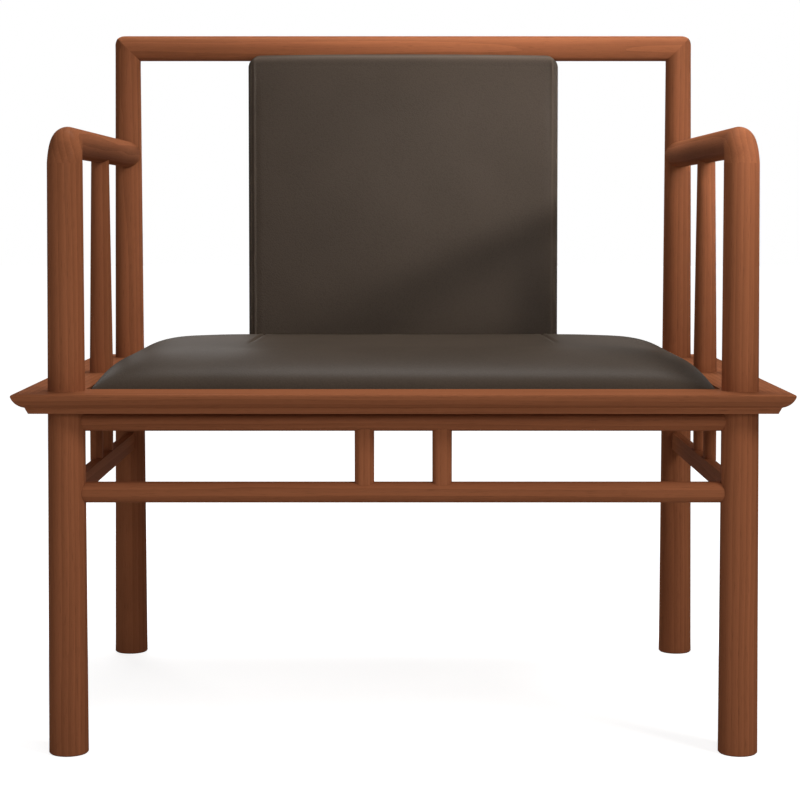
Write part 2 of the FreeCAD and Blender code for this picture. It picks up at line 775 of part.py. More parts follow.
def back_pad(inset):
    """Pad of the back: crowned front, wrapped round the board's sides, clear of the crest rail."""
    half = number("back_pad_width") / 2 - inset
    rear = board_y[1].number - inset
    front = board_y[0].number - number("back_pad_thickness") + inset
    foot = seat_top.number + FIT.number + inset
    top = crest_under.number + number("back_pad_lip") - inset
    crown = number("back_pad_crown")

    def section(share):
        swell = 1 - abs(share) ** CROWN_POWER
        rim = top - crown * share ** 2
        near = front + crown * 2 - crown * swell
        corners = [(near, foot), (near, rim - crown), (rear, rim - crown), (rear, foot)]
        belly = (near - crown * pad_crown_share(share), (foot + rim) / 2)
        return corners, [None, belly, ((near + rear) / 2, rim), None]

    pad = skin(half, section)
    clear = crest_radius.number + number("back_pad_lip_gap") + inset
    start = Vector(-corner_x.number, leg_y.number, crest_middle.number)
    pad = pad.cut(Part.makeCylinder(clear, corner_x.number * 2, start, Vector(1, 0, 0)))
    board_half = tongue_half.number + FIT.number + inset
    board_front = board_y[0].number - inset
    depth = rear - board_front + OVER.number
    height = crest_middle.number - foot + OVER.number * 2
    corner = Vector(-board_half, board_front, foot - OVER.number)
    return pad.cut(Part.makeBox(board_half * 2, depth, height, corner))


def back_rear():
    """Rear panel of the back: a thin crowned pad under the crest rail."""
    half = tongue_half.number
    flat = board_y[1].number
    back = flat + number("back_rear_thickness")
    foot = seat_top.number + FIT.number
    top = crest_under.number - number("back_pad_lip_gap")
    crown = number("back_rear_crown")

    def section(share):
        swell = 1 - abs(share) ** CROWN_POWER
        far = back - crown * 2 + crown * swell
        corners = [(flat, foot), (flat, top), (far, top), (far, foot)]
        belly = (far + crown * pad_crown_share(share), (foot + top) / 2)
        return corners, [None, None, None, belly]

    return skin(half, section)


def soft_piece(label, shape):
    """Keep a skinned shape as a piece of the document."""
    piece = doc.addObject("Part::Feature", label)
    piece.Label = label
    piece.Shape = shape
    piece.Placement = Placement()


leather = number("leather_thickness")
for label, form in (("seat_cushion", seat_cushion), ("back_pad", back_pad)):
    soft_piece(f"{label}_cover", form(0).cut(form(leather)))
    soft_piece(f"{label}_foam", form(leather + FIT.number))
soft_piece("back_rear_cover", back_rear())

doc.recompute()
pieces = [thing for thing in doc.Objects if thing.TypeId in ("PartDesign::Body", "Part::Feature")]
for thing in doc.Objects:
    if "Invalid" in thing.State or "Error" in thing.State:
        raise RuntimeError(f"{thing.Label} failed: {thing.State}")
for piece in pieces:
    shape = piece.Shape
    if shape.isNull() or not shape.isValid() or len(shape.Solids) != 1:
        raise RuntimeError(f"{piece.Label} is not one valid solid")
os.makedirs("parts", exist_ok=True)
for piece in pieces:
    piece.Shape.exportStep(f"parts/{piece.Label}.step")
print(f"{len(pieces)} pieces written")
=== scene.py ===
"""Looks of the lounge chair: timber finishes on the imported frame, leather cushions, studio and camera.

Metres, +Z up, the front towards -Y, origin on the floor under the middle of the chair.
"""
import logging
import math
from dataclasses import dataclass, field
from enum import Enum

import bmesh
import bpy
import numpy as np
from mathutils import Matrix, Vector
from mathutils.kdtree import KDTree


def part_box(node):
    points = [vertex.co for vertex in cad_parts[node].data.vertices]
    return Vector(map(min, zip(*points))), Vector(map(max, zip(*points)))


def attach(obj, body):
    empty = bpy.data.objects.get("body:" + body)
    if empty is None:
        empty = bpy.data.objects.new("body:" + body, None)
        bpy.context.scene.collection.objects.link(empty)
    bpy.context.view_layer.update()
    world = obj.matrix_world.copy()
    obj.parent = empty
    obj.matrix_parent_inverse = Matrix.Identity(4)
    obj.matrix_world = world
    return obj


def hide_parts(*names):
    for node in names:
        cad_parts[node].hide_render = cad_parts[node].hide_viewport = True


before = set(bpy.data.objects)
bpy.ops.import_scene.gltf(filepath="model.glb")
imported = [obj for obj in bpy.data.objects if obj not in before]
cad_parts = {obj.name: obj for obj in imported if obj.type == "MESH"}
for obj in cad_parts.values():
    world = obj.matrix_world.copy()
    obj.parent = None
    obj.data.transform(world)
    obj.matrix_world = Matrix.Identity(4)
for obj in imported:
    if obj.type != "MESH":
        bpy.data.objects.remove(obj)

Colour = tuple[float, float, float]
Point = tuple[float, float, float]
Span = tuple[float, float]

LOG = logging.getLogger("lounge_chair")
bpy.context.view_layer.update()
PHOTO_WIDTH_PX = 800
SENSOR_WIDTH_MM = 36.0
# painted highlight: name of the vertex layer that lightens the leather where light catches the pad's top
# edge and seams
PAINTED_HIGHLIGHT = "wear"
WHITE: Colour = (1.0, 1.0, 1.0)
MIX_COLOUR_INPUTS = (0, 6, 7)
MIX_COLOUR_OUTPUT = 2
NOISE_ROUGHNESS = 0.55
NOISE_MIDDLE: Point = (0.5, 0.5, 0.5)
WARP_DETAIL = 2.0
NEAR_ONE = 0.99
SHORTEST_STEP = 1e-9
QUARTER_ARC_SHARE = 0.8
CLOTH_FRAMES = 20
CLOTH_BENDING = 2.0


class NodeSheet:
    """A shader node tree while it is filled in."""

    def __init__(self, tree: bpy.types.ShaderNodeTree) -> None:
        """Keep the tree that gets the nodes."""
        self.tree = tree

    @classmethod
    def group(cls, name: str, inputs: dict[str, str], outputs: dict[str, str]) -> "NodeSheet":
        """Start a node group with named sockets.

        Args:
            name: Name of the group.
            inputs: Kind of each input socket by its name.
            outputs: Kind of each output socket by its name.

        Returns:
            The sheet of the new group.
        """
        tree = bpy.data.node_groups.new(name, "ShaderNodeTree")
        for title, kind in inputs.items():
            tree.interface.new_socket(name=title, in_out="INPUT", socket_type=f"NodeSocket{kind}")
        for title, kind in outputs.items():
            tree.interface.new_socket(name=title, in_out="OUTPUT", socket_type=f"NodeSocket{kind}")
        return cls(tree)

    @classmethod
    def material(cls, name: str) -> "NodeSheet":
        """Start a material whose tree holds only a shader and its output."""
        material = bpy.data.materials.new(name)
        material.use_nodes = True
        return cls(material.node_tree)

    def add(self, kind: str, **settings: object) -> bpy.types.Node:
        """Add a node.

        Args:
            kind: The node's type without its ShaderNode prefix.
            settings: Properties of the node by name.

        Returns:
            The new node.
        """
        node = self.tree.nodes.new(kind if kind.startswith("NodeGroup") else f"ShaderNode{kind}")
        for title, value in settings.items():
            setattr(node, title, value)
        return node

    def feed(self, target: bpy.types.NodeSocket, value: object) -> None:
        """Link a socket to a source socket, or set its own value."""
        if isinstance(value, bpy.types.NodeSocket):
            self.tree.links.new(value, target)
        else:
            target.default_value = value

    def combine(self, operation: str, first: object, second: object) -> bpy.types.NodeSocket:
        """Return the result of a Math node on two values."""
        node = self.add("Math", operation=operation)
        self.feed(node.inputs[0], first)
        self.feed(node.inputs[1], second)
        return node.outputs[0]

    def stretch(self, vector: bpy.types.NodeSocket, scale: Point) -> bpy.types.NodeSocket:
        """Return a vector scaled by its own factor on each axis."""
        node = self.add("VectorMath", operation="MULTIPLY")
        self.feed(node.inputs[0], vector)
        node.inputs[1].default_value = scale
        return node.outputs[0]

    def noise(self, vector: bpy.types.NodeSocket, scale: Point, detail: float) -> bpy.types.Node:
        """Add a noise texture on a stretched vector, and return its node."""
        node = self.add("TexNoise")
        self.feed(node.inputs["Vector"], self.stretch(vector, scale))
        node.inputs["Scale"].default_value = 1.0
        node.inputs["Detail"].default_value = detail
        node.inputs["Roughness"].default_value = NOISE_ROUGHNESS
        return node

    def ramp(self, value: object, start: Span, target: Span) -> bpy.types.NodeSocket:
        """Return a value carried from one range to another, held at its ends."""
        node = self.add("MapRange", clamp=True)
        for socket, number in zip(node.inputs, (value, *start, *target)):
            self.feed(socket, number)
        return node.outputs[0]

    def mix(self, share: object, first: object, second: object) -> bpy.types.NodeSocket:
        """Return two colours mixed by a share."""
        node = self.add("Mix", data_type="RGBA")
        for socket, value in zip(MIX_COLOUR_INPUTS, (share, first, second)):
            self.feed(node.inputs[socket], value)
        return node.outputs[MIX_COLOUR_OUTPUT]

    def give(self, **values: bpy.types.NodeSocket) -> None:
        """Feed a group's outputs by their names."""
        result = self.add("NodeGroupOutput")
        for title, value in values.items():
            self.feed(result.inputs[title], value)

    def shader(self) -> bpy.types.Node:
        """Return the material's main shader."""
        return next(node for node in self.tree.nodes if node.type == "BSDF_PRINCIPLED")

    def bump(self, height: bpy.types.NodeSocket, depth: float, strength: float) -> None:
        """Feed the shader's normal from a height.

        Args:
            height: Socket with the height, about 0 to 1.
            depth: Real depth of that height.
            strength: Share of the bump that shows.
        """
        node = self.add("Bump")
        node.inputs["Strength"].default_value = strength
        node.inputs["Distance"].default_value = depth
        self.feed(node.inputs["Height"], height)
        self.feed(self.shader().inputs["Normal"], node.outputs[0])


def opaque(colour: Colour) -> tuple[float, float, float, float]:
    """Return a colour with full alpha."""
    return (*colour, 1.0)


def warped(
    sheet: NodeSheet, vector: bpy.types.NodeSocket, scale: Point, reach: float,
) -> bpy.types.NodeSocket:
    """Return a vector pushed about by a slow noise.

    Args:
        sheet: Sheet that gets the nodes.
        vector: The vector to push.
        scale: Scale of the noise on each axis.
        reach: How far the push goes.

    Returns:
        The pushed vector.
    """
    noise = sheet.noise(vector, scale, WARP_DETAIL)
    centred = sheet.add("VectorMath", operation="SUBTRACT")
    sheet.feed(centred.inputs[0], noise.outputs["Color"])
    centred.inputs[1].default_value = NOISE_MIDDLE
    moved = sheet.add("VectorMath", operation="MULTIPLY_ADD")
    sheet.feed(moved.inputs[0], centred.outputs[0])
    moved.inputs[1].default_value = (reach, reach, reach)
    sheet.feed(moved.inputs[2], vector)
    return moved.outputs[0]


@dataclass(frozen=True)
class TimberGrain:
    """Grain that all timber shares: rings, streaks, fibres and pores along local Z."""

    warp_scale: Point = (14.0, 14.0, 2.2)
    warp_reach: float = 0.012
    from_pith: Point = (0.83, 0.57, 0.0)
    ring_stretch: Point = (1.0, 1.0, 0.05)
    ring_scale: float = 46.0
    ring_distortion: float = 1.6
    ring_detail: float = 2.0
    ring_detail_scale: float = 1.4
    ring_share: float = 0.26
    streak_scale: Point = (62.0, 62.0, 1.7)
    streak_detail: float = 4.0
    streak_share: float = 0.66
    fibre_scale: Point = (640.0, 640.0, 16.0)
    fibre_detail: float = 3.0
    fibre_share: float = 0.26
    broad_scale: Point = (5.0, 5.0, 2.0)
    broad_detail: float = 1.0
    broad_share: float = 0.34
    tone_span: Span = (0.45, 1.02)
    pore_scale: Point = (1500.0, 1500.0, 55.0)
    pore_detail: float = 1.0
    pore_span: Span = (0.60, 0.72)
    pore_share: float = 0.24
    pore_colour: Colour = (0.035, 0.012, 0.006)
    fibre_span: Span = (0.25, 0.75)
    roughness: Span = (0.40, 0.52)
    pore_roughness: float = 0.12
    fibre_height: float = 0.6
    pore_height: float = 0.5

    def group(self) -> bpy.types.ShaderNodeTree:
        """Build the grain's node group.

        Returns:
            A group with Vector, Light and Dark in and Color, Roughness and Height out.
        """
        sheet = NodeSheet.group(
            "timber_grain",
            {"Vector": "Vector", "Light": "Color", "Dark": "Color"},
            {"Color": "Color", "Roughness": "Float", "Height": "Float"},
        )
        given = sheet.add("NodeGroupInput")
        straight = given.outputs["Vector"]
        bent = warped(sheet, straight, self.warp_scale, self.warp_reach)
        streak = sheet.noise(bent, self.streak_scale, self.streak_detail).outputs[0]
        fibre = sheet.noise(straight, self.fibre_scale, self.fibre_detail).outputs[0]
        broad = sheet.noise(straight, self.broad_scale, self.broad_detail).outputs[0]
        pore = sheet.noise(bent, self.pore_scale, self.pore_detail).outputs[0]
        pore = sheet.ramp(pore, self.pore_span, (0.0, 1.0))
        tone = sheet.combine("MULTIPLY", self.rings(sheet, bent), self.ring_share)
        for part, share in (
            (streak, self.streak_share), (fibre, self.fibre_share), (broad, self.broad_share),
        ):
            tone = sheet.combine("ADD", tone, sheet.combine("MULTIPLY", part, share))
        tone = sheet.ramp(tone, self.tone_span, (0.0, 1.0))
        colour = sheet.mix(tone, given.outputs["Dark"], given.outputs["Light"])
        pore_mark = sheet.combine("MULTIPLY", pore, self.pore_share)
        colour = sheet.mix(pore_mark, colour, opaque(self.pore_colour))
        rough = sheet.ramp(fibre, self.fibre_span, self.roughness)
        rough = sheet.combine("ADD", rough, sheet.combine("MULTIPLY", pore, self.pore_roughness))
        height = sheet.combine("MULTIPLY", fibre, self.fibre_height)
        height = sheet.combine("SUBTRACT", height, sheet.combine("MULTIPLY", pore, self.pore_height))
        sheet.give(Color=colour, Roughness=rough, Height=height)
        return sheet.tree

    def rings(self, sheet: NodeSheet, vector: bpy.types.NodeSocket) -> bpy.types.NodeSocket:
        """Return the yearly rings round a pith that lies outside the member."""
        off_pith = sheet.add("VectorMath", operation="ADD")
        sheet.feed(off_pith.inputs[0], vector)
        off_pith.inputs[1].default_value = self.from_pith
        rings = sheet.add("TexWave", wave_type="RINGS", rings_direction="Z", wave_profile="SAW")
        sheet.feed(rings.inputs["Vector"], sheet.stretch(off_pith.outputs[0], self.ring_stretch))
        rings.inputs["Scale"].default_value = self.ring_scale
        rings.inputs["Distortion"].default_value = self.ring_distortion
        rings.inputs["Detail"].default_value = self.ring_detail
        rings.inputs["Detail Scale"].default_value = self.ring_detail_scale
        return rings.outputs["Fac"]


@dataclass(frozen=True)
class LeatherGrain:
    """Pebbled grain that all leather shares."""

    warp_scale: Point = (210.0, 210.0, 210.0)
    warp_reach: float = 0.0016
    pebble_scale: float = 620.0
    pebble_smoothness: float = 0.55
    valley_span: Span = (0.28, 0.75)
    valley_share: float = 0.30
    pore_scale: Point = (2400.0, 2400.0, 2400.0)
    pore_detail: float = 1.0
    fold_scale: Point = (34.0, 34.0, 34.0)
    fold_detail: float = 3.0
    broad_scale: Point = (7.0, 7.0, 7.0)
    broad_detail: float = 2.0
    broad_share: float = 0.34
    noise_span: Span = (0.3, 0.7)
    roughness: Span = (0.43, 0.53)
    valley_roughness: float = 0.10
    pore_height: float = 0.22
    fold_height: float = 0.9

    def group(self) -> bpy.types.ShaderNodeTree:
        """Build the grain's node group.

        Returns:
            A group with Vector, Face and Crease in and Color, Roughness and Height out.
        """
        sheet = NodeSheet.group(
            "leather_grain",
            {"Vector": "Vector", "Face": "Color", "Crease": "Color"},
            {"Color": "Color", "Roughness": "Float", "Height": "Float"},
        )
        given = sheet.add("NodeGroupInput")
        flat = given.outputs["Vector"]
        pebbles = sheet.add("TexVoronoi", feature="SMOOTH_F1")
        sheet.feed(pebbles.inputs["Vector"], warped(sheet, flat, self.warp_scale, self.warp_reach))
        pebbles.inputs["Scale"].default_value = self.pebble_scale
        pebbles.inputs["Smoothness"].default_value = self.pebble_smoothness
        valley = sheet.ramp(pebbles.outputs["Distance"], self.valley_span, (0.0, 1.0))
        pores = sheet.noise(flat, self.pore_scale, self.pore_detail).outputs[0]
        folds = sheet.noise(flat, self.fold_scale, self.fold_detail).outputs[0]
        broad = sheet.noise(flat, self.broad_scale, self.broad_detail).outputs[0]
        shade = sheet.combine("MULTIPLY", valley, self.valley_share)
        shade = sheet.combine("ADD", shade, sheet.ramp(broad, self.noise_span, (0.0, self.broad_share)))
        colour = sheet.mix(shade, given.outputs["Face"], given.outputs["Crease"])
        rough = sheet.ramp(folds, self.noise_span, self.roughness)
        rough = sheet.combine("ADD", rough, sheet.combine("MULTIPLY", valley, self.valley_roughness))
        height = sheet.combine("SUBTRACT", sheet.combine("MULTIPLY", pores, self.pore_height), valley)
        height = sheet.combine("ADD", height, sheet.combine("MULTIPLY", folds, self.fold_height))
        sheet.give(Color=colour, Roughness=rough, Height=height)
        return sheet.tree


class Grain(Enum):
    """Way the grain of a timber member runs, as the turn that brings it to Z."""

    ALONG_X = (0.0, -math.pi / 2, 0.0)
    ALONG_Y = (math.pi / 2, 0.0, 0.0)
    ALONG_Z = (0.0, 0.0, 0.0)


@dataclass(frozen=True)
class TimberFinish:
    """Timber with a satin oiled face."""

    name: str
    light: Colour
    dark: Colour
    coat: float
    grain_depth: float = 0.00012
    coat_roughness: float = 0.22
    bump_share: float = 0.35

    def material(self, group: bpy.types.ShaderNodeTree, grain: Grain) -> bpy.types.Material:
        """Make the finish for one way of the grain.

        Args:
            group: The shared grain.
            grain: Way the grain runs.

        Returns:
            The new material.
        """
        name = f"{self.name}_{grain.name.lower()}"
        sheet = NodeSheet.material(name)
        turned = sheet.add("Mapping")
        turned.inputs["Rotation"].default_value = grain.value
        sheet.feed(turned.inputs["Vector"], sheet.add("TexCoord").outputs["Object"])
        wood = sheet.add("Group", node_tree=group)
        sheet.feed(wood.inputs["Vector"], turned.outputs[0])
        wood.inputs["Light"].default_value = opaque(self.light)
        wood.inputs["Dark"].default_value = opaque(self.dark)
        shader = sheet.shader()
        sheet.feed(shader.inputs["Base Color"], wood.outputs["Color"])
        sheet.feed(shader.inputs["Roughness"], wood.outputs["Roughness"])
        shader.inputs["Specular IOR Level"].default_value = 0.0
        shader.inputs["Coat Weight"].default_value = self.coat
        shader.inputs["Coat Roughness"].default_value = self.coat_roughness
        sheet.bump(wood.outputs["Height"], self.grain_depth, self.bump_share)
        return bpy.data.materials[name]


@dataclass(frozen=True)
class LeatherFinish:
    """Dark brown leather with a fine pebbled grain, and a lighter colour painted in as a highlight where
    the pad's layer marks one.
    """

    name: str
    face: Colour
    crease: Colour
    # painted highlight: colour painted on where light catches the pad's top edge and seams
    highlight_colour: Colour
    coat: float
    grain_depth: float = 0.0002
    coat_roughness: float = 0.40
    bump_share: float = 0.5

    def material(self, group: bpy.types.ShaderNodeTree) -> bpy.types.Material:
        """Make the finish.

        Args:
            group: The shared pebbled grain.

        Returns:
            The new material.
        """
        sheet = NodeSheet.material(self.name)
        hide = sheet.add("Group", node_tree=group)
        sheet.feed(hide.inputs["Vector"], sheet.add("TexCoord").outputs["Object"])
        hide.inputs["Face"].default_value = opaque(self.face)
        hide.inputs["Crease"].default_value = opaque(self.crease)
        # painted highlight: the layer mixes a lighter colour into the leather along the pad's lit top edge
        # and its seams
        wear = sheet.add("Attribute", attribute_name=PAINTED_HIGHLIGHT)
        colour = sheet.mix(wear.outputs["Fac"], hide.outputs["Color"], opaque(self.highlight_colour))
        shader = sheet.shader()
        sheet.feed(shader.inputs["Base Color"], colour)
        sheet.feed(shader.inputs["Roughness"], hide.outputs["Roughness"])
        shader.inputs["Specular IOR Level"].default_value = 0.0
        shader.inputs["Coat Weight"].default_value = self.coat
        shader.inputs["Coat Roughness"].default_value = self.coat_roughness
        sheet.bump(hide.outputs["Height"], self.grain_depth, self.bump_share)
        return bpy.data.materials[self.name]


@dataclass
class TimberFrame:
    """The chair's timber members, dressed by the way their grain runs."""

    finish: TimberFinish
    inner_finish: TimberFinish
    grain: dict[Grain, tuple[str, ...]] = field(default_factory=lambda: {
        Grain.ALONG_X: (
            "crest_rail", "seat_rail_front", "seat_rail_back",
            "apron_front", "apron_back", "stretcher_front",
        ),
        Grain.ALONG_Y: (
            "seat_rail_left", "seat_rail_right", "apron_left", "apron_right",
            "stretcher_left", "stretcher_right", "arm_rail_left", "arm_rail_right",
        ),
        Grain.ALONG_Z: (
            "front_leg_left", "front_leg_right", "back_leg_left", "back_leg_right",
            "strut_front_left", "strut_front_right", "strut_left_front", "strut_left_back",
            "strut_right_front", "strut_right_back", "arm_post_left", "arm_post_right",
        ),
    })
    inner_grain: dict[Grain, tuple[str, ...]] = field(default_factory=lambda: {
        Grain.ALONG_X: ("seat_panel",),
        Grain.ALONG_Y: ("seat_batten_left", "seat_batten_right"),
        Grain.ALONG_Z: ("back_board",),
    })

    def dress(self, group: bpy.types.ShaderNodeTree) -> None:
        """Give every timber node its finish.

        Args:
            group: The shared grain.
        """
        for finish, members in ((self.finish, self.grain), (self.inner_finish, self.inner_grain)):
            for grain, names in members.items():
                material = finish.material(group, grain)
                for name in names:
                    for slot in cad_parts[name].material_slots:
                        slot.material = material
                    LOG.info("dressed %s", name)


def place_of(piece: bpy.types.Object) -> np.ndarray:
    """Return the places of a piece's vertices, one row each."""
    flat = np.empty(len(piece.data.vertices) * 3)
    piece.data.vertices.foreach_get("co", flat)
    return flat.reshape(-1, 3)


def move_to(piece: bpy.types.Object, places: np.ndarray) -> None:
    """Move a piece's vertices to new places, one row each."""
    piece.data.vertices.foreach_set("co", np.ascontiguousarray(places).ravel())
    piece.data.update()


def cut_block(name: str, cuts: tuple[int, int, int]) -> bpy.types.Object:
    """Add a cube from -1 to 1 and cut it into strips along each axis.

    Args:
        name: Name of the piece.
        cuts: Number of cuts along X, Y and Z.

    Returns:
        The new object.
    """
    bpy.ops.object.select_all(action="DESELECT")
    bpy.ops.mesh.primitive_cube_add(size=2.0)
    block = bpy.context.object
    block.name = name
    block.data.name = name
    bpy.ops.object.mode_set(mode="EDIT")
    bpy.ops.mesh.select_mode(type="EDGE")
    for axis, count in enumerate(cuts):
        bpy.ops.mesh.select_all(action="DESELECT")
        mesh = bmesh.from_edit_mesh(block.data)
        for edge in mesh.edges:
            run = edge.verts[1].co - edge.verts[0].co
            edge.select_set(abs(run[axis]) > NEAR_ONE * run.length)
        mesh.select_flush_mode()
        bmesh.update_edit_mesh(block.data)
        bpy.ops.mesh.subdivide(number_cuts=count)
    bpy.ops.object.mode_set(mode="OBJECT")
    return block


def rolled(
    share: np.ndarray, half: float, roll: float, height: float, fullness: float = 2.0,
) -> tuple[np.ndarray, np.ndarray]:
    """Spread points over a flat top with rounded ends.

    Args:
        share: Where each point lies, from 0 in the middle to 1 at the end.
        half: Distance from the middle to the end.
        roll: Width of the rounded end.
        height: Height of the rounded end.
        fullness: 2 for an ellipse, more for a fuller shoulder.

    Returns:
        The distance of each point from the middle, and its share of the full height.
    """
    arc = (roll + height) * QUARTER_ARC_SHARE
    flat_share = (half - roll) / (half - roll + arc)
    angle = np.clip((1 - share) / (1 - flat_share), 0, 1) * math.pi / 2
    flat = share / flat_share * (half - roll)
    away = np.cos(angle) ** (2 / fullness)
    return np.where(share < flat_share, flat, half - roll * (1 - away)), np.sin(angle) ** (2 / fullness)


def rounded_corner(across: np.ndarray, along: np.ndarray, radius: float) -> tuple[np.ndarray, np.ndarray]:
    """Round a corner whose tip is at zero, both distances running inwards.

    Args:
        across: Distance of each point from one edge.
        along: Distance of each point from the other edge.
        radius: Radius of the corner.

    Returns:
        The two distances after the corner is rounded.
    """
    first = np.clip(1 - across / radius, 0, 1)
    second = np.clip(1 - along / radius, 0, 1)
    round_first = first * np.sqrt(1 - second ** 2 / 2)
    round_second = second * np.sqrt(1 - first ** 2 / 2)
    return across + (first - round_first) * radius, along + (second - round_second) * radius


def evened(piece: bpy.types.Object, step: np.ndarray, held: np.ndarray, rounds: int = 40) -> np.ndarray:
    """Even out a move of a piece's vertices, the same on its left and right.

    Args:
        piece: The piece, in its place before the move.
        step: Move of each vertex, one row each.
        held: True for each vertex that stays where it is.
        rounds: How often each move is averaged with its neighbours.

    Returns:
        The evened move.
    """
    places = place_of(piece)
    tree = KDTree(len(places))
    for index, place in enumerate(places):
        tree.insert(place, index)
    tree.balance()
    other_side = [tree.find((-x, y, z))[1] for x, y, z in places]
    step = (step + step[other_side] * (-1, 1, 1)) / 2
    ends = np.empty(len(piece.data.edges) * 2, dtype=np.int32)
    piece.data.edges.foreach_get("vertices", ends)
    first, second = ends.reshape(-1, 2).T
    count = np.bincount(ends, minlength=len(step))[:, None]
    for _ in range(rounds):
        total = np.zeros_like(step)
        np.add.at(total, first, step[second])
        np.add.at(total, second, step[first])
        step = np.where(held[:, None], 0.0, (step + total / count) / 2)
    return step


def swell(piece: bpy.types.Object, held: np.ndarray, pressure: float, cap: float) -> None:
    """Let air pressure plump a closed piece as cloth, and keep the result in its mesh.

    Args:
        piece: The piece to plump.
        held: True for each vertex that stays where it is.
        pressure: Pressure inside the cloth.
        cap: Farthest that a point may move.
    """
    start = place_of(piece)
    rest = piece.vertex_groups.new(name="rest")
    rest.add([int(index) for index in np.flatnonzero(held)], 1.0, "REPLACE")
    cloth = piece.modifiers.new("swell", "CLOTH")
    cloth.settings.vertex_group_mass = "rest"
    cloth.settings.use_pressure = True
    cloth.settings.uniform_pressure_force = pressure
    cloth.settings.effector_weights.gravity = 0.0
    cloth.settings.bending_stiffness = CLOTH_BENDING
    cloth.collision_settings.use_collision = False
    scene = bpy.context.scene
    for number in range(1, CLOTH_FRAMES + 1):
        scene.frame_set(number)
    shown = piece.evaluated_get(bpy.context.evaluated_depsgraph_get())
    flat = np.empty(len(shown.data.vertices) * 3)
    shown.data.vertices.foreach_get("co", flat)
    step = flat.reshape(-1, 3) - start
    length = np.linalg.norm(step, axis=1, keepdims=True)
    step *= np.minimum(1.0, cap / np.maximum(length, SHORTEST_STEP))
    piece.modifiers.remove(cloth)
    piece.vertex_groups.remove(rest)
    scene.frame_set(1)
    step = evened(piece, step, held)
    move_to(piece, start + step)
    LOG.info("%s swelled by %.4f m at most", piece.name, np.linalg.norm(step, axis=1).max())


def subdivide_once(piece: bpy.types.Object) -> None:
    """Refine a piece by one subdivision, applied, with smooth faces."""
    bpy.ops.object.select_all(action="DESELECT")
    piece.select_set(True)
    bpy.context.view_layer.objects.active = piece
    smooth = piece.modifiers.new("refine", "SUBSURF")
    smooth.levels = 1
    smooth.render_levels = 1
    bpy.ops.object.modifier_apply(modifier=smooth.name)
    bpy.ops.object.shade_smooth()


def settle(piece: bpy.types.Object, material: bpy.types.Material, body: str, *nodes: str) -> None:
    """Give a leather piece its finish, its body and the CAD nodes that it stands for.

    Args:
        piece: The finished piece.
        material: Its leather.
        body: Body that it rides on.
        nodes: CAD nodes that it replaces.
    """
    piece.data.materials.clear()
    piece.data.materials.append(material)
    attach(piece, body)
    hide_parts(*nodes)
    LOG.info("built %s with %d faces", piece.name, len(piece.data.polygons))


@dataclass
class SeatCushion:
    """Loose seat cushion: a flat foot in the seat's recess under a crowned leather top."""

    cuts: tuple[int, int, int] = (119, 87, 2)
    edge_height: float = 0.006
    crown: float = 0.0385
    side_roll: float = 0.090
    front_roll: float = 0.105
    back_roll: float = 0.120
    fullness: float = 2.5
    corner: float = 0.007
    draw_in: float = 0.003
    foot_inset: float = 0.002
    pressure: float = 3.0
    cap: float = 0.003
    crease_start: tuple[float, float] = (0.180, 0.210)
    crease_end: tuple[float, float] = (0.1865, -0.070)
    crease_width: float = 0.0023
    crease_depth: float = 0.0022
    crease_zone: float = 0.018
    crease_pull: float = 0.75
    lip_share: float = 0.45
    lip_place: float = 1.9
    lip_width: float = 0.9
    draw_power: int = 8

    def build(self, material: bpy.types.Material) -> bpy.types.Object:
        """Build the cushion.

        Args:
            material: Its leather.

        Returns:
            The finished cushion.
        """
        low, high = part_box("seat_cushion_cover")
        piece = cut_block("seat_cushion", self.cuts)
        unit = place_of(piece)
        half = (high.x - low.x) / 2
        middle = (low.y + high.y) / 2
        depth = (high.y - low.y) / 2
        x, side_share = rolled(np.abs(unit[:, 0]), half, self.side_roll, self.crown, self.fullness)
        x = self.gathered(x)
        front, front_share = rolled(np.abs(unit[:, 1]), depth, self.front_roll, self.crown)
        back, back_share = rolled(np.abs(unit[:, 1]), depth, self.back_roll, self.crown, self.fullness)
        is_front = unit[:, 1] < 0
        y = np.where(is_front, front, back)
        share = side_share * np.where(is_front, front_share, back_share)
        from_side, from_end = rounded_corner(half - x, depth - y, self.corner)
        x = half - from_side
        y = depth - from_end - self.draw_in * (1 - (x / half) ** 2) * (y / depth) ** self.draw_power
        x = x - self.draw_in * (1 - (y / depth) ** 2) * (x / half) ** self.draw_power
        is_top = unit[:, 2] > NEAR_ONE
        rise = (unit[:, 2] + 1) / 2
        z = low.z + rise * self.edge_height + np.where(is_top, share * self.crown, 0)
        foot = np.where(unit[:, 2] < -NEAR_ONE, self.foot_inset, 0)
        places = np.stack([
            np.sign(unit[:, 0]) * x * (1 - foot / half),
            middle + np.sign(unit[:, 1]) * y * (1 - foot / depth),
            z,
        ], axis=1)
        move_to(piece, places)
        swell(piece, ~is_top, self.pressure, self.cap)
        subdivide_once(piece)
        self.press_creases(piece, low.z + self.edge_height)
        settle(piece, material, "seat_cushion", "seat_cushion_cover", "seat_cushion_foam")
        return piece

    def gathered(self, x: np.ndarray) -> np.ndarray:
        """Return distances from the middle, drawn together near the creases so that these are sharp."""
        away = x - (self.crease_start[0] + self.crease_end[0]) / 2
        return x - self.crease_pull * away * np.exp(-(away / self.crease_zone) ** 2)

    def press_creases(self, piece: bpy.types.Object, edge_level: float) -> None:
        """Press two faint creases with raised lips into the top, forward from the corners of the back.

        Args:
            piece: The cushion.
            edge_level: Height of the rim, below which nothing moves.
        """
        places = place_of(piece)
        start_x, start_y = self.crease_start
        end_x, end_y = self.crease_end
        along = np.clip((start_y - places[:, 1]) / (start_y - end_y), 0, 1)
        line_x = start_x + (end_x - start_x) * along
        off = (np.abs(places[:, 0]) - line_x) / self.crease_width
        fade = 1 - along ** 2
        lip = np.exp(-((np.abs(off) - self.lip_place) / self.lip_width) ** 2)
        dent = np.exp(-off ** 2) - self.lip_share * lip
        places[:, 2] -= np.where(places[:, 2] > edge_level, self.crease_depth * fade * dent, 0)
        move_to(piece, places)


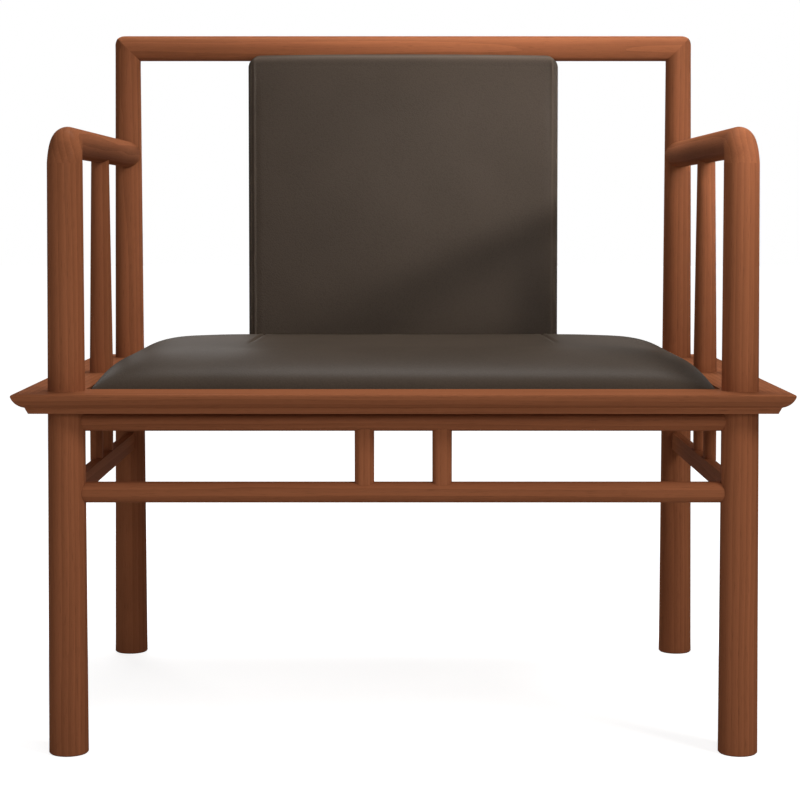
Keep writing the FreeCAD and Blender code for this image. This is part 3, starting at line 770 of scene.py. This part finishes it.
@dataclass
class SewnFace:
    """A leather face with a fine mesh near its edges, rolled over them and sewn along its sides."""

    edge_zone: float = 0.018
    edge_rows: float = 0.24
    edge_roll: float = 0.0075
    edge_depth: float = 0.0075
    seam_inset: float = 0.0082
    seam_width: float = 0.0014
    seam_rise: float = 0.0014
    seam_sink: float = 0.0014
    groove_place: float = 2.1
    thinnest: float = 0.001

    def inward(self, share: np.ndarray, half: float) -> np.ndarray:
        """Spread points from the middle to the edge, closely spaced near the edge.

        Args:
            share: Where each point lies, from 0 in the middle to 1 at the edge.
            half: Distance from the middle to the edge.

        Returns:
            The distance of each point from the edge.
        """
        flat_share = 1 - self.edge_rows
        flat = half - share / flat_share * (half - self.edge_zone)
        return np.where(share < flat_share, flat, self.edge_zone * (1 - share) / self.edge_rows)

    @staticmethod
    def fall(inset: np.ndarray, roll: float, depth: float) -> np.ndarray:
        """Return how far the face falls back at a distance from an edge that is rolled over."""
        return depth * (1 - np.sqrt(1 - np.clip(1 - inset / roll, 0, 1) ** 2))

    def seam(self, inset: np.ndarray) -> np.ndarray:
        """Return how far the seam stands out of the face, with its groove on the outer side."""
        ridge = np.exp(-((inset - self.seam_inset) / self.seam_width) ** 2)
        from_groove = inset - self.seam_inset + self.groove_place * self.seam_width
        groove = np.exp(-(from_groove / self.seam_width) ** 2)
        return self.seam_rise * ridge - self.seam_sink * groove

    def sewn(self, inset: np.ndarray) -> np.ndarray:
        """Return True where the seam or the leather outside it holds the face still."""
        return inset < self.seam_inset + self.seam_width


@dataclass
class BackPad(SewnFace):
    """Leather pad on the front of the back, with a seam along its sides, which wrap the board."""

    cuts: tuple[int, int, int] = (99, 9, 99)
    top_roll: float = 0.012
    top_depth: float = 0.012
    crown: float = 0.004
    corner: float = 0.017
    top_arch: float = 0.002
    arch_power: int = 4
    crest_gap: float = 0.0016
    crest_zone: float = 0.01
    front_rows: float = -0.5
    # painted highlight: width of the lighter band painted along the top edge, and its strength there and on
    # the seams
    highlight_width: float = 0.0050
    top_wear: float = 0.70
    seam_wear: float = 0.16
    pressure: float = 2.0
    cap: float = 0.0018

    def build(self, material: bpy.types.Material) -> bpy.types.Object:
        """Build the pad.

        Args:
            material: Its leather.

        Returns:
            The finished pad.
        """
        low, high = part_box("back_pad_cover")
        crest_low, crest_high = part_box("crest_rail")
        piece = cut_block("back_pad", self.cuts)
        unit = place_of(piece)
        half = (high.x - low.x) / 2
        tall = (high.z - low.z) / 2
        is_top = unit[:, 2] > 0
        side = self.inward(np.abs(unit[:, 0]), half)
        end = self.inward(np.abs(unit[:, 2]), tall)
        from_side, from_top = rounded_corner(side, end, self.corner)
        x = half - np.where(is_top, from_side, side)
        up = tall - np.where(is_top, from_top, end)
        across = x / half
        z = (low.z + high.z) / 2 + np.sign(unit[:, 2]) * up
        z = z - np.where(is_top, self.top_arch * across ** 2 * (up / tall) ** self.arch_power, 0)
        swollen = (1 - across ** 2) * (1 - (up / tall) ** 2)
        side_fall = self.fall(side, self.edge_roll, self.edge_depth)
        end_fall = self.fall(end, self.top_roll, self.top_depth)
        front = low.y + np.hypot(side_fall, end_fall) + self.crown * (1 - swollen)
        front = front - self.seam(side) * np.clip(end / self.top_roll, 0, 1)
        reach = (crest_high.z - crest_low.z) / 2 + self.crest_gap
        meets = np.clip(1 - (((crest_low.z + crest_high.z) / 2 - z) / reach) ** 2, 0, 1)
        crest_face = (crest_low.y + crest_high.y) / 2 - reach * np.sqrt(meets)
        back = np.where(meets > 0, np.minimum(high.y, crest_face), high.y)
        front = np.minimum(front, back - self.thinnest)
        y = front + (back - front) * (unit[:, 1] + 1) / 2
        move_to(piece, np.stack([np.sign(unit[:, 0]) * x, y, z], axis=1))
        is_behind = unit[:, 1] > self.front_rows
        is_high = z > crest_low.z - self.crest_zone
        swell(piece, is_behind | self.sewn(side) | is_high, self.pressure, self.cap)
        subdivide_once(piece)
        self.paint_highlight(piece, half, high.z)
        settle(piece, material, "chair_frame", "back_pad_cover", "back_pad_foam")
        return piece

    def paint_highlight(self, piece: bpy.types.Object, half: float, top: float) -> None:
        """Paint a highlight into the leather's colour: a lighter band along the top edge, where light from
        above catches it, and a little along the seams.

        Args:
            piece: The pad.
            half: Distance from its middle to its sides.
            top: Height of its top.
        """
        places = place_of(piece)
        across = places[:, 0] / half
        below = np.clip(top - self.top_arch * across ** 2 - places[:, 2], 0, None)
        seam = (half - np.abs(places[:, 0]) - self.seam_inset) / self.seam_width
        # painted highlight: lighter colour where the top light catches the top edge, and a thin line of it
        # on each seam ridge
        share = self.top_wear * np.exp(-(below / self.highlight_width) ** 2)
        share = share + self.seam_wear * np.exp(-seam ** 2)
        layer = piece.data.attributes.new(PAINTED_HIGHLIGHT, "FLOAT", "POINT")
        layer.data.foreach_set("value", np.clip(share, 0, 1).astype(np.float32))


@dataclass
class RearPanel(SewnFace):
    """Thin leather panel that closes the rear of the back, sewn along its sides like the front."""

    cuts: tuple[int, int, int] = (79, 4, 69)
    edge_depth: float = 0.005
    seam_rise: float = 0.0011
    seam_sink: float = 0.0011
    crown: float = 0.002
    corner: float = 0.012
    rear_rows: float = 0.9
    pressure: float = 1.5
    cap: float = 0.001

    def build(self, material: bpy.types.Material) -> bpy.types.Object:
        """Build the panel.

        Args:
            material: Its leather.

        Returns:
            The finished panel.
        """
        low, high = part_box("back_rear_cover")
        piece = cut_block("back_rear_panel", self.cuts)
        unit = place_of(piece)
        half = (high.x - low.x) / 2
        tall = (high.z - low.z) / 2
        side = self.inward(np.abs(unit[:, 0]), half)
        end = self.inward(np.abs(unit[:, 2]), tall)
        from_side, from_end = rounded_corner(side, end, self.corner)
        x = half - from_side
        up = tall - from_end
        swollen = (1 - (x / half) ** 2) * (1 - (up / tall) ** 2)
        side_fall = self.fall(side, self.edge_roll, self.edge_depth)
        end_fall = self.fall(end, self.edge_roll, self.edge_depth)
        back = high.y - np.hypot(side_fall, end_fall) - self.crown * (1 - swollen)
        back = back + self.seam(side) * np.clip(end / self.edge_zone, 0, 1)
        back = np.maximum(back, low.y + self.thinnest)
        y = low.y + (back - low.y) * (unit[:, 1] + 1) / 2
        z = (low.z + high.z) / 2 + np.sign(unit[:, 2]) * up
        move_to(piece, np.stack([np.sign(unit[:, 0]) * x, y, z], axis=1))
        swell(piece, (unit[:, 1] < self.rear_rows) | self.sewn(side), self.pressure, self.cap)
        subdivide_once(piece)
        settle(piece, material, "chair_frame", "back_rear_cover")
        return piece


@dataclass(frozen=True)
class SoftBox:
    """One soft studio lamp."""

    name: str
    place: Point
    aim: Point
    width: float
    height: float
    power: float
    colour: Colour = WHITE
    spread_degrees: float = 180.0

    def hang(self) -> None:
        """Hang the lamp and turn it to its aim."""
        lamp = bpy.data.lights.new(self.name, "AREA")
        lamp.shape = "RECTANGLE"
        lamp.size = self.width
        lamp.size_y = self.height
        lamp.energy = self.power
        lamp.color = self.colour
        lamp.spread = math.radians(self.spread_degrees)
        stand = bpy.data.objects.new(self.name, lamp)
        stand.location = self.place
        aim = Vector(self.aim) - Vector(self.place)
        stand.rotation_euler = aim.to_track_quat("-Z", "Y").to_euler()
        bpy.context.scene.collection.objects.link(stand)


@dataclass
class Studio:
    """Pale floor, soft light and the camera at the photograph's angle."""

    eye: Point = (-0.0007, -2.5326, 0.6068)
    pitch_degrees: float = 2.609
    focal_px: float = 2042.9
    shift: tuple[float, float] = (-0.00332, -0.12)
    floor_side: float = 40.0
    floor_grey: Colour = (0.60, 0.60, 0.60)
    floor_roughness: float = 0.9
    floor_glow: float = 0.82
    glow_reach: Span = (1.0, 4.0)
    ambient: Colour = (0.06, 0.06, 0.06)
    lamps: tuple[SoftBox, ...] = (
        SoftBox("key_light", (1.60, -1.60, 2.00), (0.0, -0.1, 0.5), 0.6, 0.6, 28.0, (1.0, 0.98, 0.95)),
        SoftBox("back_light", (1.4, -1.3, 1.28), (0.10, 0.24, 0.71), 0.28, 0.28, 0.75, spread_degrees=22.0),
        SoftBox("top_light", (0.1, 0.5, 2.2), (0.0, 0.15, 0.6), 1.3, 0.6, 28.0),
        SoftBox("front_light", (0.2, -2.2, 0.90), (0.0, -0.25, 0.45), 1.0, 0.5, 10.0),
        SoftBox("side_light", (-1.8, -1.5, 1.5), (0.0, 0.0, 0.5), 0.9, 0.9, 5.0),
        SoftBox("rear_light", (-0.8, 2.2, 1.6), (0.0, 0.0, 0.5), 1.2, 1.0, 14.0),
    )

    def build(self) -> None:
        """Build the floor, the light and the camera."""
        self.lay_floor()
        self.light_world()
        for lamp in self.lamps:
            lamp.hang()
        self.set_camera()
        bpy.context.scene.view_settings.view_transform = "Standard"

    @staticmethod
    def seen_directly(sheet: NodeSheet) -> bpy.types.NodeSocket:
        """Return 1 for camera, mirror and glass rays, and 0 for the light that falls on the chair."""
        path = sheet.add("LightPath")
        seen = sheet.combine("MAXIMUM", path.outputs["Is Camera Ray"], path.outputs["Is Glossy Ray"])
        return sheet.combine("MAXIMUM", seen, path.outputs["Is Transmission Ray"])

    def lay_floor(self) -> None:
        """Lay the pale floor, which glows to the eye and in reflections and keeps the chair's shadow."""
        bpy.ops.object.select_all(action="DESELECT")
        bpy.ops.mesh.primitive_plane_add(size=self.floor_side)
        floor = bpy.context.object
        floor.name = "studio_floor"
        sheet = NodeSheet.material("pale_floor")
        shader = sheet.shader()
        shader.inputs["Base Color"].default_value = opaque(self.floor_grey)
        shader.inputs["Roughness"].default_value = self.floor_roughness
        shader.inputs["Specular IOR Level"].default_value = 0.0
        shader.inputs["Emission Color"].default_value = opaque(WHITE)
        away = sheet.add("VectorMath", operation="LENGTH")
        sheet.feed(away.inputs[0], sheet.add("TexCoord").outputs["Object"])
        glow = sheet.ramp(away.outputs["Value"], self.glow_reach, (self.floor_glow, 1.0))
        glow = sheet.combine("MULTIPLY", self.seen_directly(sheet), glow)
        sheet.feed(shader.inputs["Emission Strength"], glow)
        floor.data.materials.append(bpy.data.materials["pale_floor"])

    def light_world(self) -> None:
        """Make the surroundings white to the eye and in reflections, and a grey fill for the light."""
        world = bpy.data.worlds.new("studio")
        world.use_nodes = True
        bpy.context.scene.world = world
        sheet = NodeSheet(world.node_tree)
        shown = next(node for node in world.node_tree.nodes if node.type == "BACKGROUND")
        colour = sheet.mix(self.seen_directly(sheet), opaque(self.ambient), opaque(WHITE))
        sheet.feed(shown.inputs["Color"], colour)
        shown.inputs["Strength"].default_value = 1.0

    def set_camera(self) -> None:
        """Set the camera where the photograph was taken."""
        lens = bpy.data.cameras.new("photo_camera")
        lens.sensor_width = SENSOR_WIDTH_MM
        lens.lens = self.focal_px * SENSOR_WIDTH_MM / PHOTO_WIDTH_PX
        lens.shift_x, lens.shift_y = self.shift
        camera = bpy.data.objects.new("photo_camera", lens)
        camera.location = self.eye
        camera.rotation_euler = (math.radians(90.0 - self.pitch_degrees), 0.0, 0.0)
        bpy.context.scene.collection.objects.link(camera)
        bpy.context.scene.camera = camera


ROSEWOOD = TimberFinish("satin_timber", (0.340, 0.119, 0.053), (0.215, 0.073, 0.032), 0.015)
INNER_WOOD = TimberFinish("inner_timber", (0.330, 0.160, 0.080), (0.210, 0.095, 0.046), 0.0)
# The third colour is the painted highlight for the pad's top edge and seams.
LEATHER = LeatherFinish(
    "brown_leather", (0.063, 0.0468, 0.0350), (0.037, 0.0278, 0.0202), (0.170, 0.126, 0.096), 0.14,
)


def main() -> None:
    """Build the studio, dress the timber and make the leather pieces."""
    logging.basicConfig(level=logging.INFO, format="%(name)s: %(message)s")
    Studio().build()
    TimberFrame(ROSEWOOD, INNER_WOOD).dress(TimberGrain().group())
    leather = LEATHER.material(LeatherGrain().group())
    for soft in (SeatCushion(), BackPad(), RearPanel()):
        soft.build(leather)


if __name__ == "__main__":
    main()
